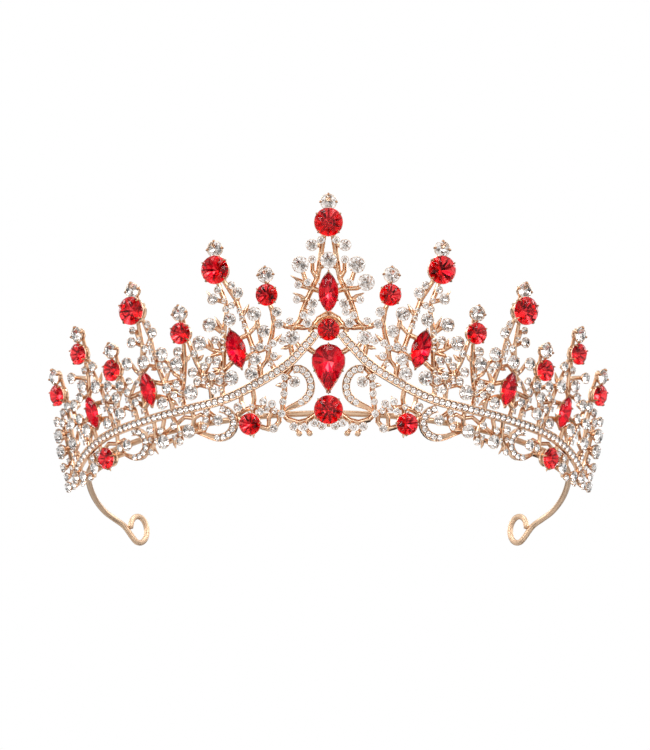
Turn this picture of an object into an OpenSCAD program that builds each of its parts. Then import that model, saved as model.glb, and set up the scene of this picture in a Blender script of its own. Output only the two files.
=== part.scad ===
// Bridal crown: an openwork wall of cast sprigs, set with red and clear cut stones, on a
// curved headband wire.
// Frame: the head side of the wall is a cone frustum. The origin is the centre of its base arc,
// on the plane the crown stands on. +Z is up, the jewelled face looks along -Y, +X is the
// wearer's left. Millimetres.
// A place on the wall is [u, h]: u is the arc length along the base circle from the middle,
// h is the height up the sloping wall. A third number is the stand-off from the wall.

/* [Head curve] */
// Radius of the base arc
arc_radius = 80; // [65:1:100]
// Outward lean of the wall in degrees
wall_lean = 20; // [0:1:35]

/* [Castings] */
// Radius of the thick stems
stem_r = 0.7; // [0.5:0.05:1.2]
// Radius of the thin sprigs at their root
sprig_r = 0.58; // [0.35:0.05:0.9]
// Stand-off of the centre line of the castings
cast_off = 0.5; // [0.4:0.05:1.2]

/* [Pave rails and scrolls] */
// Width of a pave channel
rail_w = 2.5; // [2.0:0.1:3.5]
// Width of the groove that holds the stones
groove_w = 1.75; // [1.3:0.05:2.2]
// Spacing of the pave stones along a channel
pave_pitch = 1.75; // [1.6:0.05:2.4]
// Diameter of a pave stone
pave_d = 1.65; // [1.2:0.05:2.0]

/* [Stones] */
// Diameter of the large red round stones
chaton_large = 7.8; // [6:0.1:9]
// Diameter of the small red round stones
chaton_small = 6; // [4.5:0.1:7]
// Diameter of the clear stone on top of each finial
tip_d = 4.2; // [2.5:0.1:4.8]
// Size of the clear stones against the diameters listed for the sprigs
clear_size = 1.09; // [0.9:0.01:1.12]

/* [Headband wire] */
// Diameter of the headband wire
wire_d = 1.7; // [1.2:0.1:2.4]
// Height of the wire up the wall
wire_h = 6.7; // [4:0.1:9]

/* [Hidden] */
lam = wall_lean;
gold = [0.86, 0.62, 0.44];
gold_dark = [0.78, 0.54, 0.36];
ruby = [0.78, 0.03, 0.08];
crystal = [0.88, 0.9, 0.93];
cup_z = 1;               // stand-off of the cups' backs: they sit on the castings
floor_t = 0.2;           // thickness of a cup's floor
stone_z = cup_z + floor_t + 0.02;
big_d = 3;               // clear stones of this diameter and up are the large ones
mid_d = 2;               // clear stones below this one are the small ones

// ---------------------------------------------------------------- layout of the right half

// Pave rail: from beside the arch stone, swooping down and out to the wing end
rail_path = [[2.9, 28.4], [4.5, 26.1], [6.6, 23.7], [9, 21], [12, 18.7], [15.5, 16.7], [19, 15],
             [24, 13], [30, 11.7], [40, 11.2], [50, 11], [60, 10.9], [66, 10.6], [71, 9.7],
             [76, 8.3], [80, 6.6], [83.5, 4.4]];

// Pave scrolls: C curves that run out into a plain tail; then the number of stones on each
inner_scroll = [[8.8, 18.6], [7, 18.7], [5.5, 17.5], [4.6, 15.6], [4.4, 13.5], [5, 11.5],
                [6.4, 10], [8.4, 9], [10.4, 8.2], [11.8, 7]];
middle_scroll = [[28.6, 10], [26.8, 9.2], [25.5, 7.6], [25.1, 5.6], [25.8, 3.7], [27.4, 2.4],
                 [29.5, 2.1], [31.8, 2.7], [34, 3.8], [36, 4.7]];
end_scroll = [[56, 9.2], [54, 8.8], [52.5, 7.4], [51.9, 5.4], [52.5, 3.5], [54.2, 2.2],
              [56.3, 2.1], [58.3, 2.8], [60.2, 4]];
inner_count = 8;
middle_count = 8;
end_count = 8;

// Stems of the wing, from the rail up to a finial: thick vines
wing_stems = [
  [[13, 18.2], [14.6, 21.5], [14.6, 25], [13.6, 28.5], [13, 32], [13.3, 35], [13.8, 37]],
  [[17, 15.9], [17, 19.5], [18.2, 24], [19.4, 29], [20.5, 34], [21.5, 38.5], [23.1, 42],
   [24.1, 44.3]],
  [[27.5, 12.3], [27.4, 16], [26.6, 20], [25.9, 25], [25.4, 30], [24.6, 34.5], [24.2, 38.5],
   [25.6, 44.2]],
  [[30.5, 11.7], [30.5, 16], [32, 19.5], [33.5, 23.5], [34.8, 29.6]],
  [[38.5, 11.3], [38.8, 15.5], [37.5, 19.5], [36.5, 24], [36.1, 29.4]],
  [[42, 11.2], [42.2, 15], [43.2, 19.5], [44.2, 24.5], [44.8, 29], [44.9, 33], [45.6, 36],
   [46.1, 38.3]],
  [[50, 11], [50.5, 14.5], [50.2, 19], [49.5, 23.5], [48.5, 27.5], [47.6, 31.5], [47.6, 38.1]],
  [[53.5, 11], [53.7, 14.5], [54.8, 18.5], [55.5, 22.5], [55.8, 24.9]],
  [[60.5, 10.9], [60, 15], [58.8, 18.5], [57.5, 22], [57.1, 24.8]],
  [[62, 10.8], [62.3, 15], [62.8, 20], [63.7, 25], [65, 30], [65.2, 32.9]],
  [[69.6, 10], [69.8, 14.5], [69, 19], [68.3, 23.5], [67, 28], [66.6, 32.6]],
  [[73, 9.2], [74, 13.5], [75.2, 17.5], [76.2, 22], [76.9, 25.1]],
  [[79.5, 6.9], [80.3, 11.5], [79.8, 16], [78.7, 20.5], [78.3, 25]],
  [[82.6, 5], [83.3, 9.5], [83.2, 13.5], [82.6, 17.5], [82.4, 21]]
];

// Cross bars behind the marquise stones, then the border below the rail with its struts
wing_bars = [
  [[18.2, 24], [20.5, 22.6], [23.5, 22.4], [26.6, 20]],
  [[19.4, 29], [21.5, 28.2], [23.8, 28.4], [25.9, 25]],
  [[42.2, 15], [45.5, 16.6], [48.2, 16.6], [50.5, 14.5]],
  [[43.2, 19.5], [46.7, 21], [50.2, 19]],
  [[62.3, 15], [65.3, 15.8], [67.5, 15.8], [69.8, 14.5]],
  [[62.8, 20], [66.2, 20.6], [69, 19]],
  [[14.6, 25], [18.2, 24]],
  [[26.6, 20], [32, 19.5]],
  [[37.5, 19.5], [43.2, 19.5]],
  [[50.2, 19], [54.8, 18.5]],
  [[58.8, 18.5], [62.8, 20]],
  [[69, 19], [72, 17.6], [75.2, 17.5]],
  [[79.8, 16], [81.2, 17], [82.6, 17.5]]
];
wing_border = [
  [[12.9, 7.1], [14.5, 8], [17, 8.8], [19.6, 9.3], [22, 8.7], [24.2, 7.6]],
  [[12.9, 7.1], [13, 4.8], [14.3, 3.3], [16, 3], [18, 3.8], [20.2, 4.6]],
  [[19.4, 14.4], [19.2, 11.8], [19.6, 9.3], [19.9, 7.2], [20.2, 4.6]],
  [[22.6, 13.2], [22.7, 11], [22, 8.7]],
  [[32, 11.4], [32, 9.6], [32.3, 8], [32.8, 6.4], [33.8, 4.9], [35.4, 5], [37.3, 5],
   [39.4, 5.3], [41.2, 5], [43.3, 4], [45.4, 3.8], [47.4, 4.4], [49, 5.2], [51.2, 5.6]],
  [[36.6, 11.2], [36.3, 8.6], [37.3, 5]],
  [[42.8, 11.1], [41.7, 8], [41.2, 5]],
  [[48.4, 10.9], [48.6, 8], [49, 5.2]],
  [[45.4, 3.8], [46.2, 6], [45.9, 8.4], [44.8, 11]],
  [[60.2, 4.3], [62.4, 4.4], [65, 4.4], [68, 4], [71, 3.5], [74.4, 3.2], [77.5, 3.1],
   [81, 3.9], [83.4, 2.9]],
  [[61.5, 10.7], [62.2, 7.6], [62.4, 4.4]],
  [[69, 10.1], [69.4, 7], [68, 4]],
  [[74.6, 8.6], [75, 6], [74.4, 3.2]],
  [[80.5, 6.3], [80.6, 5], [81, 3.9]],
  [[49, 5.2], [50.3, 3.6], [50.4, 2.4]],
  [[74.4, 3.2], [75, 1.9]],
  [[81, 3.9], [80.3, 1.9]],
  [[41.2, 5], [40.8, 3.3]]
];

// Curved links that tie the stems together
wing_links = [
  [[17, 19.5], [15.3, 21.6], [14.6, 25]],
  [[19.4, 29], [17.4, 31], [16.8, 33.2]],
  [[27.4, 16], [29.2, 17.3], [32, 19.5]],
  [[25.9, 25], [29, 24.6], [31, 22.4], [32, 19.5]],
  [[30.5, 16], [33.4, 17.2], [36.4, 16.6], [38.8, 15.5]],
  [[38.8, 15.5], [40.9, 17.2], [43.2, 19.5]],
  [[37.5, 19.5], [39.9, 21.6], [41.2, 25], [44.8, 29]],
  [[44.2, 24.5], [46.8, 25.7], [49.5, 23.5]],
  [[44.9, 33], [46.3, 31], [48.5, 27.5]],
  [[49.5, 23.5], [51.9, 21.8], [54.8, 18.5]],
  [[53.7, 14.5], [56.6, 16.4], [60, 15]],
  [[55.5, 22.5], [57, 20.8], [58.8, 18.5]],
  [[57.5, 22], [60.4, 23.6], [63.7, 25]],
  [[63.7, 25], [66.1, 26], [68.3, 23.5]],
  [[69.8, 14.5], [72, 12.6], [73, 9.2]],
  [[68.3, 23.5], [71.8, 24], [76.2, 22]],
  [[75.2, 17.5], [77.4, 14.9], [80.3, 11.5]],
  [[80.3, 11.5], [81.7, 12.9], [83.2, 13.5]],
  [[32.3, 8], [34.2, 9.3], [36.3, 8.6]],
  [[36.3, 8.6], [39, 9.4], [41.7, 8]],
  [[41.7, 8], [43.7, 7.2], [46.2, 6]],
  [[62.2, 7.6], [65.6, 8.7], [69.4, 7]],
  [[69.4, 7], [72.2, 7.6], [75, 6]],
  [[14.5, 8], [15.7, 5.8], [16, 3]]
];

// Sprigs of the wing: stone diameter, then the vine from its root on a stem to the stone
wing_sprigs = [
  [3.5, [[6.6, 23.7], [7.4, 25.6], [8.5, 27.1]]],
  [1.8, [[8.5, 27.1], [10, 25.8], [11, 26.5]]],
  [1.8, [[14.6, 21.5], [13.2, 22.5]]],
  [1.8, [[14.6, 25], [13.3, 26]]],
  [3.0, [[13.6, 28.5], [15.2, 29.3]]],
  [2.2, [[13, 32], [11.6, 31]]],
  [2.3, [[13.4, 35.5], [12, 34.3]]],
  [3.4, [[18.2, 24], [16.4, 27], [16.8, 31], [17.2, 34.2]]],
  [2.0, [[18.2, 24], [16.5, 25.2]]],
  [3.0, [[17, 19.5], [17.8, 22]]],
  [3.2, [[17, 19.5], [19, 18.2]]],
  [3.6, [[27.4, 16], [25.6, 16.2], [24.1, 17.6]]],
  [2.0, [[27.4, 16], [27.4, 17.4]]],
  [2.2, [[26.6, 20], [27.6, 22.8]]],
  [1.8, [[32, 19.5], [29.6, 23.4]]],
  [2.0, [[32, 19.5], [31, 21.9]]],
  [2.0, [[25.9, 25], [27.4, 28.4]]],
  [3.6, [[25.9, 25], [28.6, 26], [31.2, 28.2]]],
  [3.4, [[25.4, 30], [26.6, 31.2], [28.2, 32.7]]],
  [3.2, [[24.6, 34.5], [23.2, 33.4]]],
  [2.6, [[21.5, 38.5], [20.7, 40.4]]],
  [2.6, [[24.2, 38.5], [26.8, 39.6]]],
  [1.6, [[21.5, 38.5], [22.6, 37.2]]],
  [1.6, [[24.6, 34.5], [24, 36.4]]],
  [1.8, [[23.1, 42], [22.1, 42.7]]],
  [1.8, [[24.2, 38.5], [25.4, 41.9]]],
  [2.4, [[36.5, 24], [37.3, 27.1]]],
  [1.8, [[33.5, 23.5], [33.2, 25.8]]],
  [3.5, [[37.5, 19.5], [38, 21.6], [38, 23.8]]],
  [2.4, [[32, 19.5], [34.2, 20.8]]],
  [2.0, [[32, 19.5], [33.3, 18.1]]],
  [2.0, [[37.5, 19.5], [39.2, 18.6]]],
  [2.0, [[30.5, 16], [29.3, 19]]],
  [3.8, [[38.8, 15.5], [37, 15], [35.2, 15.4]]],
  [1.8, [[30.5, 16], [29.3, 15]]],
  [1.8, [[38.8, 15.5], [40.4, 15.8]]],
  [1.8, [[45.6, 36], [44.4, 36.5]]],
  [1.8, [[47.6, 31.5], [48.8, 36]]],
  [2.6, [[44.9, 33], [43.3, 33.9]]],
  [2.6, [[47.6, 31.5], [49.5, 32.8]]],
  [1.8, [[47.6, 31.5], [46.3, 30.2]]],
  [3.4, [[44.2, 24.5], [43, 26.2], [41.6, 27.4]]],
  [3.4, [[48.5, 27.5], [47, 26.6]]],
  [3.2, [[49.5, 23.5], [51, 25.4], [51.9, 27.4]]],
  [1.8, [[44.2, 24.5], [42.8, 24.6]]],
  [1.8, [[43.2, 19.5], [41.6, 21.4], [41.2, 23]]],
  [2.6, [[43.2, 19.5], [41.9, 18]]],
  [1.8, [[49.5, 23.5], [50.4, 21.4]]],
  [3.0, [[42.2, 15], [43.8, 14.3]]],
  [2.7, [[55.5, 22.5], [55.6, 22.3]]],
  [2.7, [[57.5, 22], [59.5, 23.3]]],
  [2.8, [[58.8, 18.5], [57.6, 19.5]]],
  [1.8, [[55.5, 22.5], [52.8, 22.8]]],
  [3.2, [[60, 15], [57.4, 14.9]]],
  [1.9, [[54.8, 18.5], [53.9, 20.1]]],
  [2.2, [[50.5, 14.5], [52, 16.6]]],
  [1.8, [[62.8, 20], [60.8, 20.6]]],
  [1.8, [[60, 15], [60.6, 17]]],
  [2.8, [[62.3, 15], [62.5, 13.7]]],
  [2.4, [[65, 30], [63.2, 30.4]]],
  [2.0, [[65, 30], [66.3, 30.4]]],
  [3.2, [[68.3, 23.5], [68.1, 26.4]]],
  [2.5, [[68.3, 23.5], [70.3, 23.8]]],
  [3.4, [[63.7, 25], [63.3, 24.6]]],
  [2.8, [[67, 28], [69.4, 29.2], [71.4, 30]]],
  [3.4, [[69.8, 14.5], [70.6, 14.4]]],
  [3.0, [[76.2, 22], [73, 22.5]]],
  [2.8, [[76.2, 22], [75.8, 23.1]]],
  [2.3, [[78.7, 20.5], [78.8, 22.5]]],
  [2.4, [[79.8, 16], [80.2, 20.2]]],
  [2.6, [[72, 17.6], [72.6, 18.4]]],
  [3.0, [[75.2, 17.5], [76.2, 18.3]]],
  [3.4, [[80.3, 11.5], [77.6, 12.9]]],
  [3.8, [[82.6, 17.5], [82.8, 17.2]]],
  [3.8, [[83.2, 13.5], [83.9, 12.9]]],
  [2.5, [[82.4, 21], [82.6, 21.4]]],
  [1.8, [[14.5, 8], [14.4, 9.6]]],
  [1.8, [[17, 8.8], [16.6, 10.4]]],
  [1.8, [[17, 8.8], [17.5, 7.8]]],
  [2.2, [[22, 8.7], [23.2, 9.6]]],
  [2.0, [[14.3, 3.3], [14.3, 3]]],
  [2.7, [[32, 9.6], [30.4, 8.2], [29, 6.8]]],
  [1.6, [[32, 9.6], [32, 9.4]]],
  [1.6, [[32.3, 8], [32.5, 7.5]]],
  [1.6, [[32.8, 6.4], [33.2, 5.6]]],
  [3.4, [[37.3, 5], [37.4, 5.2]]],
  [1.8, [[41.7, 8], [41.9, 7.6]]],
  [1.8, [[40.8, 3.3], [40.8, 3]]],
  [3.4, [[45.4, 3.8], [45.4, 3.9]]],
  [1.8, [[46.2, 6], [46.2, 7.2]]],
  [1.8, [[48.6, 8], [49.4, 8.2]]],
  [1.6, [[50.4, 2.4], [50.4, 2.2]]],
  [2.8, [[62.2, 7.6], [59.6, 8], [57.4, 6]]],
  [1.8, [[62.4, 4.4], [60.6, 6]]],
  [1.8, [[69.4, 7], [69.2, 6.8]]],
  [3.2, [[71, 3.5], [71.4, 3.6]]],
  [1.8, [[69.4, 7], [72, 6.6]]],
  [2.8, [[77.5, 3.1], [77.5, 3.2]]],
  [3.0, [[81, 3.9], [81, 4]]],
  [2.2, [[83.4, 2.9], [83.6, 2.6]]],
  [2.8, [[83.4, 2.9], [86.3, 3.1]]],
  [2.4, [[83.3, 9.5], [86.2, 8.9]]],
  [2.2, [[83.3, 9.5], [86, 6]]],
  [1.8, [[75, 1.9], [75, 1.8]]],
  [1.6, [[80.3, 1.9], [79.3, 1.7]]]
];

// Small stones set straight into the wing stems: their spacing and the first one's distance
stem_pitch = 2.2;
stem_start = 2.7;
border_pitch = 2.1;
border_start = 1.2;

// Leaves of the wing: root, tip, half width
wing_leaves = [
  [[14.6, 21.5], [11.4, 22.6], 0.8], [[28.6, 26], [29.6, 29.4], 0.8],
  [[25.4, 30], [27.2, 35], 0.7],
  [[20.5, 34], [18.6, 37.2], 0.7], [[38.8, 15.5], [40.6, 17.6], 0.7],
  [[17, 8.8], [16.2, 12], 0.7],
  [[20.2, 4.6], [20.2, 0.9], 0.7],
  [[14.6, 25], [11.2, 28.4], 0.7], [[18.2, 24], [20.2, 19.8], 0.8],
  [[26.6, 20], [29.4, 21.2], 0.7], [[33.5, 23.5], [31.2, 25.2], 0.7],
  [[36.5, 24], [34.6, 26], 0.7], [[44.2, 24.5], [46.4, 24.2], 0.7],
  [[54.8, 18.5], [56.3, 20.8], 0.6], [[62.8, 20], [61.2, 22.6], 0.6],
  [[26.8, 39.6], [28.6, 42.2], 0.5], [[35.4, 5], [34.6, 7.6], 0.6],
  [[43.3, 4], [43.2, 1.6], 0.6], [[51.2, 5.6], [49, 1.2], 0.5],
  [[68, 4], [67.4, 1.2], 0.6], [[24.2, 7.6], [23.4, 4.8], 0.6],
  [[75.2, 17.5], [74.2, 12.6], 0.9], [[80.3, 11.5], [78.4, 9], 0.9],
  [[63.7, 25], [61.8, 28.2], 0.8], [[42.2, 15], [40.2, 12.8], 0.7]
];

// Red finial stones of one side: place on the wall, then the place of the clear tip stone
tall_finials = [[25, 47.2, 24.9, 53], [46.9, 41, 46.3, 46.6]];
short_finials = [[13.9, 39, 14, 44.5], [35.4, 31.8, 35.2, 37.3], [56.3, 27, 55.8, 32.4],
                 [65.8, 35, 65.2, 40.4], [77.6, 27.4, 77.4, 32.8]];
// Red round stones of one side below the rail
lower_chatons = [[20.2, 4.6], [65, 4.4]];
// Red marquise stones of one side: place, width, length, outward tilt
marquises = [[22.1, 25.2, 5.6, 11.6, 12], [46.8, 19, 4.9, 10.4, 4],
             [66.3, 18.2, 4.8, 10.2, 4]];

// Stems of the centre, drawn on both sides
centre_stems = [
  [[8.6, 21.3], [9.2, 25], [8.8, 28], [8.4, 30.2], [6.9, 31.6], [6.1, 34.5], [5, 37.5],
   [3.8, 40.4], [2.6, 43.2], [2.1, 46], [1.8, 49], [1.4, 52], [0.9, 56]],
  [[8.4, 30.2], [6, 29.9], [3.4, 30.2], [0, 29]],
  [[8.4, 30.2], [10.2, 30.4], [11.2, 31.3]],
  [[3.4, 30.2], [2.4, 32.2], [0, 33.8]],
  [[4.4, 28.6], [3.6, 30.6], [1.9, 32.3], [0, 33.1]],
  [[3.8, 40.4], [2.2, 39.8], [0, 39]],
  [[1.8, 49], [0, 49.6]],
  [[9.2, 20.8], [9.4, 18.9], [10.7, 17.4], [11.1, 14.6], [11.2, 12.2], [11.8, 9.8], [12, 7]],
  [[12, 7], [10.6, 5.2], [8, 4.3], [5.6, 4.8], [3.4, 6.4], [0, 7.6]],
  [[5.6, 24.8], [3.4, 23], [0, 22]]
];
// Sprigs of the centre, drawn on both sides
centre_sprigs = [
  [4.0, [[3.8, 40.4], [5.3, 43], [6.2, 46.7]]],
  [2.8, [[1.33, 52.3], [3.6, 52]]],
  [1.8, [[1.4, 54], [1.6, 53.4]]],
  [1.8, [[2.6, 43.2], [3.6, 45.2], [3.6, 48.1]]],
  [1.8, [[3.8, 40.4], [4.7, 41.9]]],
  [2.2, [[5, 37.5], [3.6, 36.2]]],
  [1.8, [[6.1, 34.5], [4.0, 34.0]]],
  [2.2, [[6, 29.9], [4.9, 30.9]]],
  [1.8, [[5, 37.5], [7.2, 37.4]]],
  [1.8, [[6.9, 31.6], [5.8, 33.1]]],
  [1.8, [[8.4, 30.2], [9, 31.6]]],
  [1.6, [[10.7, 17.4], [10.8, 16.6]]],
  [1.6, [[11.1, 14.6], [11.1, 14.4]]],
  [1.6, [[11.2, 12.2], [11.2, 12.2]]],
  [1.6, [[11.8, 9.8], [11.6, 10]]],
  [2.6, [[10.7, 17.4], [9.2, 16.6], [8.4, 15.2]]],
  [1.8, [[12, 7], [12, 6.8]]],
  [2.0, [[8, 4.3], [9, 3.2]]],
  [1.8, [[5.6, 4.8], [6.3, 3]]],
  [1.8, [[3.4, 6.4], [3.6, 4]]],
  [1.8, [[3.6, 4], [1.7, 3.1]]]
];
centre_leaves = [
  [[5, 37.5], [8.2, 39.4], 0.6], [[11.1, 14.6], [13.4, 14.6], 0.8],
  [[9.2, 25], [11.6, 24.4], 0.7]
];
// Stalks under the middle, each to the bead at its end
centre_beads = [[[8, 4.3], [8.8, 2.9], [7.8, 1.3]], [[6.3, 3], [5, 1.3]]];
// One sprig is different left and right: a large stone on one side, a leaf on the other
odd_root = [3.8, 40.4];
odd_stone = [8.4, 42];

// ---------------------------------------------------------------- wall geometry

function deg(u) = u / arc_radius * 180 / PI;
function radius(h, o) = arc_radius + h * sin(lam) + o * cos(lam);
function surf(u, h, o) = [radius(h, o) * sin(deg(u)), -radius(h, o) * cos(deg(u)),
                          h * cos(lam) - o * sin(lam)];
function normal(u) = [cos(lam) * sin(deg(u)), -cos(lam) * cos(deg(u)), -sin(lam)];
function unit(v) = v / norm(v);

// Smooth curve through the points, n steps from each to the next
function spline(a, b, c, d, t) = 0.5 * (2 * b + (c - a) * t + (2 * a - 5 * b + 4 * c - d) * t * t
                                        + (3 * b - a - 3 * c + d) * t * t * t);
function smooth(p, n) = len(p) < 3 ? p : concat(
  [for (i = [0:len(p) - 2]) for (k = [0:n - 1])
    spline(p[max(i - 1, 0)], p[i], p[i + 1], p[min(i + 2, len(p) - 1)], k / n)],
  [p[len(p) - 1]]);

// Real length along a path on the wall, and points at equal spacing on it
function gap(a, b) = norm([(b[0] - a[0]) * radius((a[1] + b[1]) / 2, 1) / arc_radius, b[1] - a[1]]);
function lengths(p, i = 0, t = 0) =
  i == len(p) - 1 ? [t] : concat([t], lengths(p, i + 1, t + gap(p[i], p[i + 1])));
function spaced(p, pitch, start, count) = let (
  l = lengths(p),
  tu = [for (i = [0:len(p) - 1]) [l[i], p[i][0]]],
  th = [for (i = [0:len(p) - 1]) [l[i], p[i][1]]],
  most = floor((l[len(p) - 1] - start - 0.6) / pitch),
  n = count > 0 ? min(count - 1, most) : most)
  [for (k = [0:n]) [lookup(start + k * pitch, tu), lookup(start + k * pitch, th)]];

// Local frame on the wall: X along it, Y up it, Z away from the head
module at(u, h, o = 0, roll = 0) {
  a = deg(u);
  p = surf(u, h, o);
  multmatrix([[cos(a), sin(lam) * sin(a), cos(lam) * sin(a), p[0]],
              [sin(a), -sin(lam) * cos(a), -cos(lam) * cos(a), p[1]],
              [0, cos(lam), -sin(lam), p[2]],
              [0, 0, 0, 1]]) rotate([0, 0, roll]) children();
}

// Sweeps one outline per point along a path; normals give the outline's second axis
module sweep(path, normals, outlines) {
  n = len(path);
  m = len(outlines[0]);
  dirs = [for (i = [0:n - 1]) unit(path[min(i + 1, n - 1)] - path[max(i - 1, 0)])];
  across = [for (i = [0:n - 1]) unit(cross(normals[i], dirs[i]))];
  out = [for (i = [0:n - 1]) cross(dirs[i], across[i])];
  pts = [for (i = [0:n - 1]) for (q = outlines[i]) path[i] + across[i] * q[0] + out[i] * q[1]];
  faces = concat(
    [[for (j = [0:m - 1]) j]],
    [for (i = [0:n - 2]) for (j = [0:m - 1]) each
      [[i * m + j, (i + 1) * m + j, (i + 1) * m + (j + 1) % m],
       [i * m + j, (i + 1) * m + (j + 1) % m, i * m + (j + 1) % m]]],
    [[for (j = [0:m - 1]) (n - 1) * m + m - 1 - j]]);
  polyhedron(pts, faces, convexity = 6);
}

function ring(r, m) = [for (j = [0:m - 1]) [r * cos(j * 360 / m), r * sin(j * 360 / m)]];

// A vine on side s (1 right, -1 left) that tapers from r0 to r1
module vine(path, s, r0, r1, steps = 2, m = 4) {
  p = smooth(path, steps);
  n = len(p) - 1;
  sweep([for (q = p) surf(s * q[0], q[1], cast_off)], [for (q = p) normal(s * q[0])],
        [for (i = [0:n]) ring(r0 + (r1 - r0) * i / n, m)]);
}

// A flat channel with two lips along a path on the wall; off is the stand-off of its back
// tail is the share of the path's end over which it narrows
module channel(path, s, off, w, groove, deep, tail = 0) {
  p = smooth(path, 2);
  n = len(p) - 1;
  o = [[-w / 2, 0], [w / 2, 0], [w / 2, deep + 0.75], [groove / 2, deep + 0.75],
       [groove / 2, deep], [-groove / 2, deep], [-groove / 2, deep + 0.75], [-w / 2, deep + 0.75]];
  k = [for (i = [0:n]) tail == 0 ? 1 : min(1, 0.42 + 0.58 * (n - i) / n / tail)];
  sweep([for (q = p) surf(s * q[0], q[1], off)], [for (q = p) normal(s * q[0])],
        [for (i = [0:n]) [for (c = o) [c[0] * k[i], c[1] * (0.4 + 0.6 * k[i])]]]);
}

// ---------------------------------------------------------------- stones and their seats

// Round cut stone: culet at Z = 0, flat table on top
module round_stone(d) {
  r = d / 2;
  rotate_extrude($fn = 24)
    polygon([[0, 0], [r * 0.98, r * 0.72], [r, r * 0.8], [r * 0.58, r * 1.14], [0, r * 1.14]]);
}

// Small turned cup that takes the point of a clear stone
module clear_cup(d) {
  r = d / 2;
  g = floor_t + r * 0.66;
  rotate_extrude($fn = 24)
    polygon([[0, 0], [r * 0.5, 0], [r + 0.02, g], [r * 0.9, g], [0, floor_t - 0.02]]);
}

// Claw setting: a square plate with a post at each corner, round a turned cup. d is the stone
module setting(d, turn, post = 0.3) {
  r = d / 2;
  g = floor_t + r * 0.72;
  a = (r + post * 1.5) * sin(45);
  rotate([0, 0, turn + 45]) translate([-a, -a, -0.12]) cube([2 * a, 2 * a, 0.28]);
  rotate_extrude($fn = 24) polygon([[0, 0], [r * 0.6, 0], [r * 0.92, g - 0.3],
    [r * 0.84, g - 0.3], [0.05, floor_t], [0, floor_t]]);
  for (k = [0:3]) rotate([0, 0, turn + k * 90])
    translate([r + post * 0.75, 0, 0]) cylinder(r = post, h = g + post * 1.7, $fn = 16);
}
module leaf(q, s) {
  line = [q[0], q[0] * 0.5 + q[1] * 0.5, q[1]];
  sweep([for (e = line) surf(s * e[0], e[1], cast_off)], [for (e = line) normal(s * e[0])],
        [for (e = [[0.32, 0.3], [q[2], 0.4], [0.12, 0.14]])
          [[e[0], 0], [0, e[1]], [-e[0], 0], [0, -e[1]]]]);
}

// Finial: the cup of the red stone, a strap up its back and a pointed crown cup for the tip stone
module finial(f, d, s) {
  rise = f[3] - f[1];
  shift = s * (f[2] - f[0]);
  r = d / 2;
  t = tip_d / 2;
  at(s * f[0], f[1], cup_z) {
    setting(d, 45, 0.34);
    rotate([0, 0, -atan2(shift, rise)]) translate([-0.8, -r * 0.85, -0.95])
      cube([1.6, r * 0.85 + rise, 1]);
    translate([shift, rise, 0]) setting(tip_d, 0, 0.32);
  }
}

function marquise_pts(w, l, f) = let (k = (l * l / 4 - w * w / 4) / w, r = k + w / 2,
  a = asin(l / 2 / r)) concat(
  [for (i = [-3:3]) [(r * cos(a * i / 3) - k) * f, r * sin(a * i / 3) * f]],
  [for (i = [-2:2]) [-(r * cos(a * i / 3) - k) * f, -r * sin(a * i / 3) * f]]);
module long_stone(outer, table, keel, deep, high) {
  hull() {
    translate([0, 0, 0]) linear_extrude(0.05) polygon(keel);
    translate([0, 0, deep]) linear_extrude(0.25) polygon(outer);
    translate([0, 0, deep + high]) linear_extrude(0.05) polygon(table);
  }
}
module marquise_stone(w, l) {
  long_stone(marquise_pts(w, l, 1), marquise_pts(w, l, 0.6), marquise_pts(w, l, 0.12),
             w * 0.36, w * 0.22);
}
// Bezel of a marquise: a lens-shaped wall with a claw at each point and two on each flank
module marquise_setting(w, l) {
  g = floor_t + w * 0.36;
  difference() {
    linear_extrude(g - 0.35) polygon(marquise_pts(w + 0.1, l + 0.3, 1));
    translate([0, 0, -1]) linear_extrude(g + 3) polygon(marquise_pts(w, l, 0.74));
  }
  for (y = [-1, 1]) {
    translate([0, y * (l / 2 + 0.05), g - 1.4]) cylinder(r = 0.4, h = 2, $fn = 16);
    for (x = [-1, 1]) translate([x * w * 0.4, y * l * 0.24, g - 1.4])
      cylinder(r = 0.3, h = 1.8, $fn = 16);
  }
}

// Pear outline, round end up, scaled by f about its broad centre
pear_w = 9.4;
pear_l = 13.8;
function pear_pts(grow, f) = let (r = pear_w / 2 + grow, tip = -(pear_l - pear_w / 2) - grow * 1.6)
  concat([for (a = [-15:30:195]) [r * cos(a) * f, r * sin(a) * f]],
         [[-r * 0.62 * f, tip * 0.52 * f], [0, tip * f], [r * 0.62 * f, tip * 0.52 * f]]);
module pear_setting_body() {
  g = floor_t + 2.9;
  difference() {
    linear_extrude(g - 0.35) polygon(pear_pts(0.12, 1));
    translate([0, 0, -1]) linear_extrude(g + 3) polygon(pear_pts(0, 0.76));
  }
  for (a = [15, 90, 165]) rotate([0, 0, a])
    translate([pear_w / 2 + 0.05, 0, g - 1.4]) cylinder(r = 0.38, h = 2, $fn = 16);
  for (x = [-1, 1]) translate([x * 3.1, -4.6, g - 1.4]) cylinder(r = 0.38, h = 2, $fn = 16);
  for (x = [-1, 1]) translate([x * 1.5, -7.4, g - 1.4]) cylinder(r = 0.38, h = 2, $fn = 16);
}

// ---------------------------------------------------------------- groups for one side

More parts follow.
